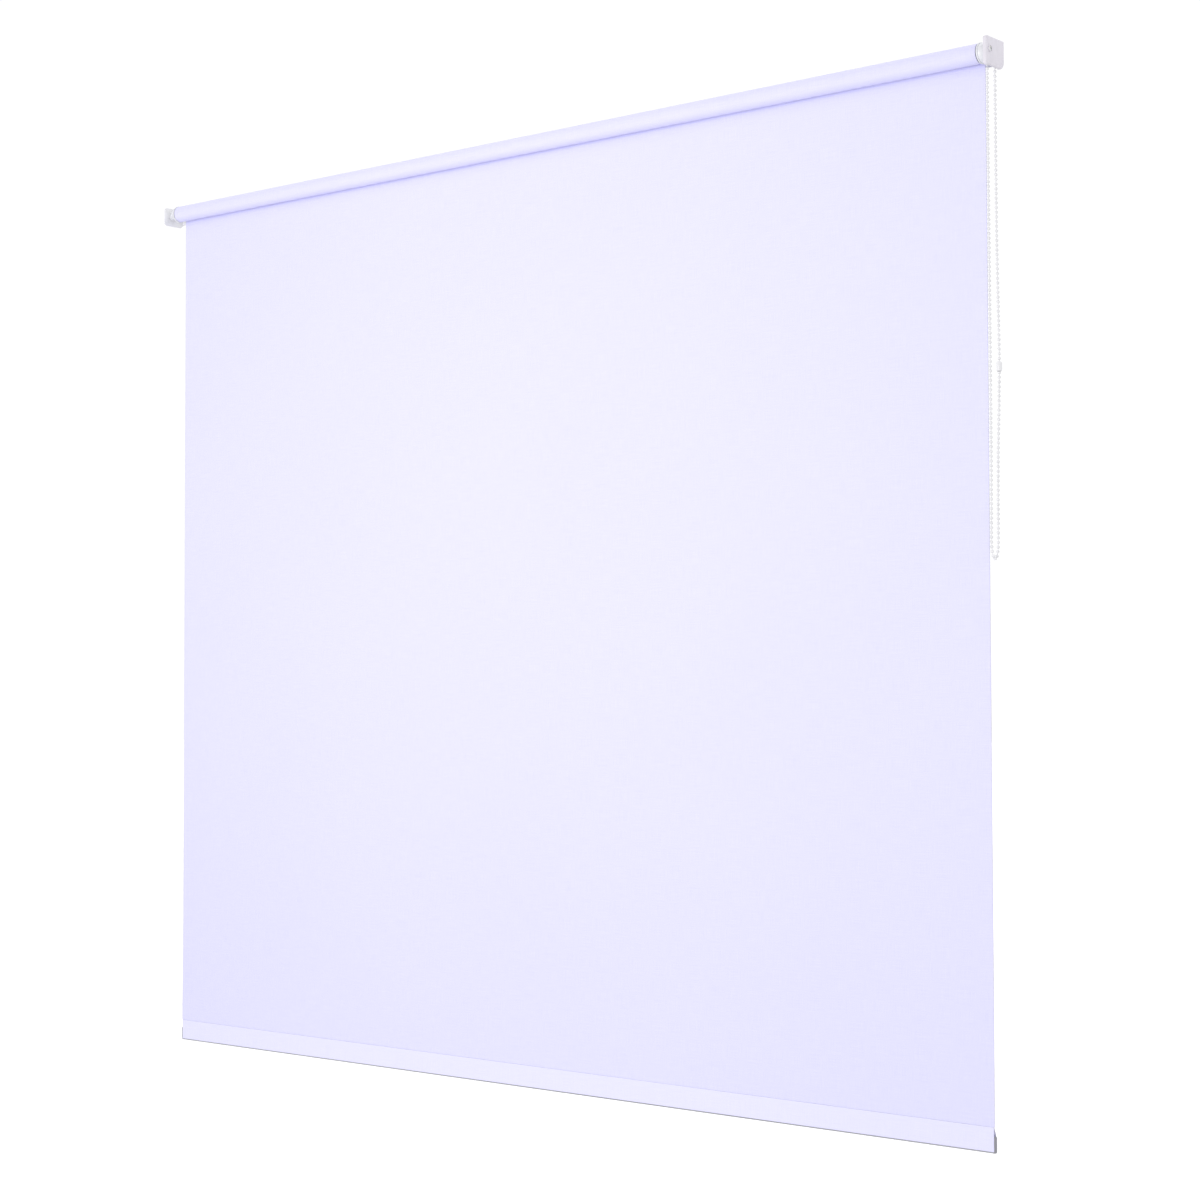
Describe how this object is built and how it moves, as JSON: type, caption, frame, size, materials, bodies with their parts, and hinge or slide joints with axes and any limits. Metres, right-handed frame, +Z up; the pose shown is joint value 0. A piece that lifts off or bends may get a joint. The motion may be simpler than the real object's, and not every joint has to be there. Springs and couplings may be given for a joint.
{
  "type": "roller blind",
  "caption": "Chain-operated roller blind: cloth on a tube between two wall brackets, hem rail, bead-chain loop and wrap-spring clutch.",
  "frame": {"origin": "on the wall face of the drive bracket's flange, midway between its two slots and level with the roller's axis", "axes": "+X along the roller to the drive side, +Y into the wall, +Z up; the room is at -Y"},
  "size_m": [1.5999, 0.046, 1.4073],
  "materials": {
    "bracket_steel": "satin pale grey powder coat on 1.3 mm sheet steel",
    "cover_plastic": "fine moulded grain, pale grey-mauve",
    "zinc_steel": "bright zinc plate",
    "hub_plastic": "off-white moulded acetal",
    "spring_steel": "drawn spring wire",
    "white_plastic": "white moulded plastic",
    "tube_aluminium": "mill-finish extruded tube",
    "fixing_tape": "double-sided tape",
    "blackout_cloth": "very fine plain weave with a smooth coated face, cool white",
    "rail_aluminium": "mid grey anodised extrusion",
    "cap_plastic": "dark grey moulded plastic",
    "chain_plastic": "moulded beads on a polyester cord, off-white"
  },
  "bodies": {
    "brackets": {"drive_bracket": "bracket_steel", "idle_bracket": "bracket_steel", "drive_cover": "cover_plastic", "drive_cover_screw": "zinc_steel", "clutch_spindle": "hub_plastic", "spindle_clip": "zinc_steel", "pin_bush": "hub_plastic", "fabric_sheet": "blackout_cloth"},
    "roller": {"roller_tube": "tube_aluminium", "fabric_roll": "blackout_cloth", "fixing_tape": "fixing_tape", "drive_crown": "white_plastic", "chain_wheel": "hub_plastic", "inner_wrap_spring": "spring_steel", "outer_wrap_spring": "spring_steel", "idle_plug": "white_plastic", "pin_spring": "spring_steel"},
    "idle_pin": {"idle_pin": "zinc_steel"},
    "hem": {"hem_rail": "rail_aluminium", "hem_pocket": "blackout_cloth", "hem_cap_drive": "cap_plastic", "hem_cap_idle": "cap_plastic"},
    "chain": {"bead_chain": "chain_plastic", "chain_joiner": "chain_plastic"}
  },
  "joints": [
    {"name": "roller_spin", "type": "hinge", "parent": "brackets", "child": "roller", "pos_m": [0, -0.024, 0], "axis": [1, 0, 0], "range_deg": [0, 4896]},
    {"name": "hem_lift", "type": "slide", "parent": "brackets", "child": "hem", "axis": [0, 0, 1], "range_m": [0, 1.33], "deforming": ["fabric_sheet"]},
    {"name": "pin_slide", "type": "slide", "parent": "roller", "child": "idle_pin", "axis": [1, 0, 0], "range_m": [0, 0.009], "stiffness_N_per_m": 300, "springref_m": -0.006, "deforming": ["pin_spring"]},
    {"name": "chain_swing", "type": "hinge", "parent": "brackets", "child": "chain", "pos_m": [0, -0.024, 0], "axis": [1, 0, 0], "range_deg": [-12, 1]}
  ],
  "couplings": [
    {"joint": "hem_lift", "follows": "roller_spin", "m_per_rad": 0.015565}
  ]
}
